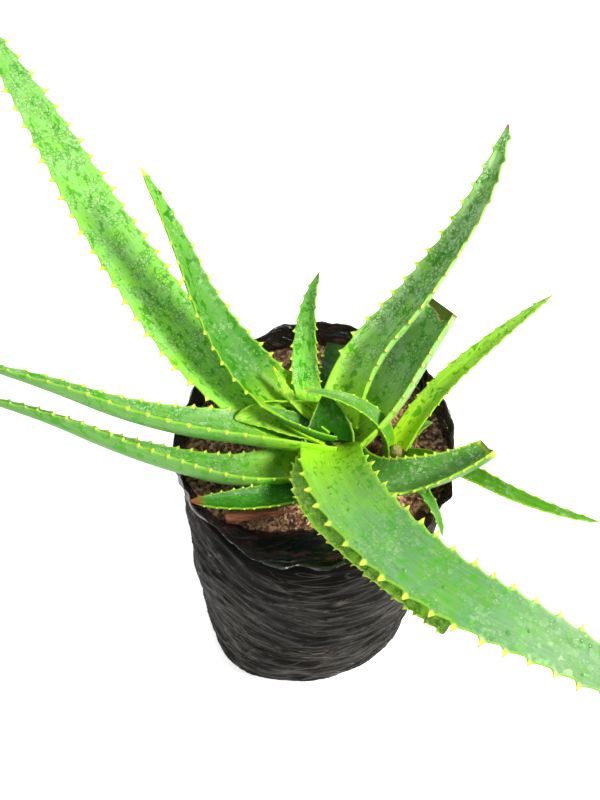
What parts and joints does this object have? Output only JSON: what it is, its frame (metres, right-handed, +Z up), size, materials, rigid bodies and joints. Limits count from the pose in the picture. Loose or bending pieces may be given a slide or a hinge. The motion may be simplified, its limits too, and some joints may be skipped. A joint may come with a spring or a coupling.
{
  "type": "potted aloe",
  "caption": "Young spiny-leaved aloe with a side offset, growing from compost in a soft black nursery bag.",
  "frame": {"origin": "centre of the bag's flat foot, on the surface that it stands on", "axes": "+Z up, out of the bag's mouth; -Y towards the viewer of the picture; +X to the viewer's right"},
  "size_m": [0.4519, 0.394, 0.4322],
  "materials": {
    "black_film": "satin",
    "compost": "matte",
    "stem_bark": "matte",
    "dry_stalk": "matte",
    "leaf_bloom_green": "satin",
    "leaf_yellow_green": "satin",
    "leaf_dark_green": "satin"
  },
  "bodies": {
    "root": {"polybag": "black_film", "soil": "compost", "main_stem": "stem_bark", "offset_stem": "stem_bark", "stalk_stub": "dry_stalk", "leaf_back_left": "leaf_bloom_green", "leaf_back_left_inner": "leaf_bloom_green", "leaf_back_right": "leaf_bloom_green", "leaf_back_right_cut": "leaf_bloom_green", "leaf_back_cut": "leaf_dark_green", "leaf_front_right": "leaf_bloom_green", "leaf_front_cut": "leaf_bloom_green", "leaf_front_left": "leaf_bloom_green", "leaf_left_upper": "leaf_bloom_green", "leaf_left_lower": "leaf_bloom_green", "leaf_right_cut": "leaf_bloom_green", "leaf_centre": "leaf_yellow_green", "leaf_sliver": "leaf_yellow_green", "leaf_curled": "leaf_yellow_green", "leaf_young": "leaf_bloom_green", "leaf_heart": "leaf_dark_green", "offset_leaf_right": "leaf_yellow_green", "offset_leaf_arched": "leaf_yellow_green", "offset_leaf_thin": "leaf_bloom_green", "offset_leaf_hanging": "leaf_bloom_green", "offset_leaf_short": "leaf_dark_green", "offset_leaf_low": "leaf_dark_green"}
  },
  "joints": []
}
